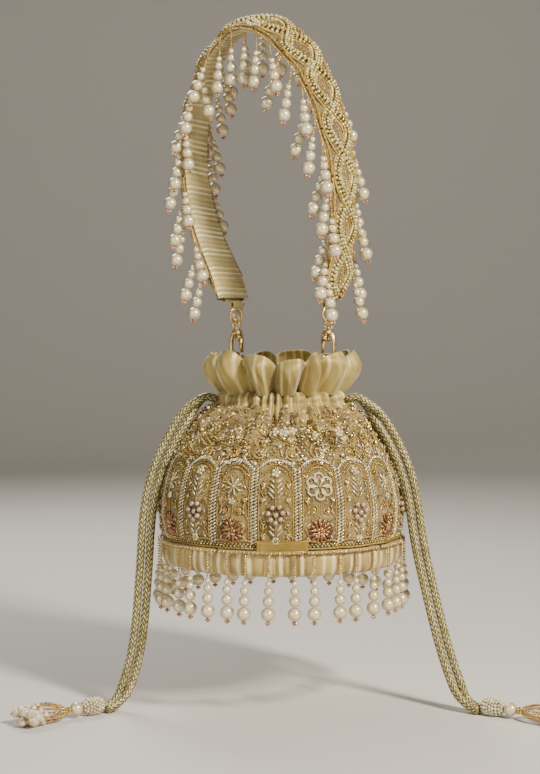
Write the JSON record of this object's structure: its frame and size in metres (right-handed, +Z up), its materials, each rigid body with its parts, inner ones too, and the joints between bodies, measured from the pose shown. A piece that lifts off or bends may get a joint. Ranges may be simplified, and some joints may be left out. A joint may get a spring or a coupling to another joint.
{
  "type": "potli bag",
  "caption": "Round embroidered drawstring pouch with a gathered ruffle, a beaded strap on two clasps, doubled cords with bead tassels, and pearl fringes.",
  "frame": {"origin": "the underside of the strap's crown, straight above the pouch's axis, where a hand or hook carries the bag", "axes": "+Z up along the pouch's axis; -Y is the side with the small bare plate; the strap's plane is turned 38 degrees about Z, its right leg forward"},
  "size_m": [0.3127, 0.1585, 0.4159],
  "materials": {
    "zari_silk": "silk covered with metallic thread, beads and sequins",
    "ivory_silk": "striped tissue silk with a soft sheen",
    "lining_silk": "plain satin lining",
    "board": "plain",
    "pearl": "pearly coated beads on gold seed beads",
    "gold_bead": "gold-lined seed beads with white drops",
    "white_bead": "opaque white seed beads",
    "gold_metal": "polished gold plate",
    "bead_braid": "beaded cord and metallic braid",
    "cord_braid": "round braid of gold and ivory cord"
  },
  "bodies": {
    "handle": {"strap_lining": "ivory_silk", "strap_core": "ivory_silk", "strap_braid": "bead_braid", "strap_fringe_near_1": "pearl", "strap_fringe_near_2": "pearl", "strap_fringe_near_3": "pearl", "strap_fringe_near_4": "pearl", "strap_fringe_near_5": "pearl", "strap_fringe_near_6": "pearl", "strap_fringe_far_1": "pearl", "strap_fringe_far_2": "pearl", "strap_fringe_far_3": "pearl", "strap_fringe_far_4": "pearl", "strap_fringe_far_5": "pearl", "strap_fringe_far_6": "pearl", "strap_tab_left": "ivory_silk", "jump_ring_left": "gold_metal", "clasp_left": "gold_metal", "strap_tab_right": "ivory_silk", "jump_ring_right": "gold_metal", "clasp_right": "gold_metal"},
    "bag": {"embroidered_body": "zari_silk", "pouch_lining": "lining_silk", "base_cover": "ivory_silk", "base_board": "board", "bottom_band": "ivory_silk", "name_plate": "gold_metal", "neck_casing": "ivory_silk", "ruffle": "ivory_silk", "base_fringe_1": "pearl", "base_fringe_2": "pearl", "base_fringe_3": "pearl", "base_fringe_4": "pearl", "base_fringe_5": "pearl", "base_fringe_6": "pearl", "base_fringe_7": "pearl", "base_fringe_8": "pearl", "base_fringe_9": "pearl", "mouth_tab_left": "ivory_silk", "mouth_ring_left": "gold_metal", "mouth_tab_right": "ivory_silk", "mouth_ring_right": "gold_metal", "drawcord_left_outer": "cord_braid", "drawcord_left_inner": "cord_braid", "drawcord_right_outer": "cord_braid", "drawcord_right_inner": "cord_braid", "tassel_collar_left": "white_bead", "tassel_pearl_left": "pearl", "tassel_strands_left": "gold_bead", "tassel_collar_right": "white_bead", "tassel_pearl_right": "pearl", "tassel_strands_right": "gold_bead"},
    "gate_left": {"clasp_gate_left": "gold_metal"},
    "gate_right": {"clasp_gate_right": "gold_metal"}
  },
  "joints": [
    {"name": "bag_swing", "type": "hinge", "parent": "handle", "child": "bag", "pos_m": [0, 0, -0.194], "axis": [0.788, -0.6157, 0], "range_deg": [-25, 25]},
    {"name": "gate_left_open", "type": "hinge", "parent": "handle", "child": "gate_left", "pos_m": [-0.02537, 0.01982, -0.1795], "axis": [0.6157, 0.788, 0], "range_deg": [0, 14], "stiffness_Nm_per_rad": 0.002, "springref_deg": -34.38},
    {"name": "gate_right_open", "type": "hinge", "parent": "handle", "child": "gate_right", "pos_m": [0.02537, -0.01982, -0.1795], "axis": [-0.6157, -0.788, 0], "range_deg": [0, 14], "stiffness_Nm_per_rad": 0.002, "springref_deg": -34.38}
  ]
}
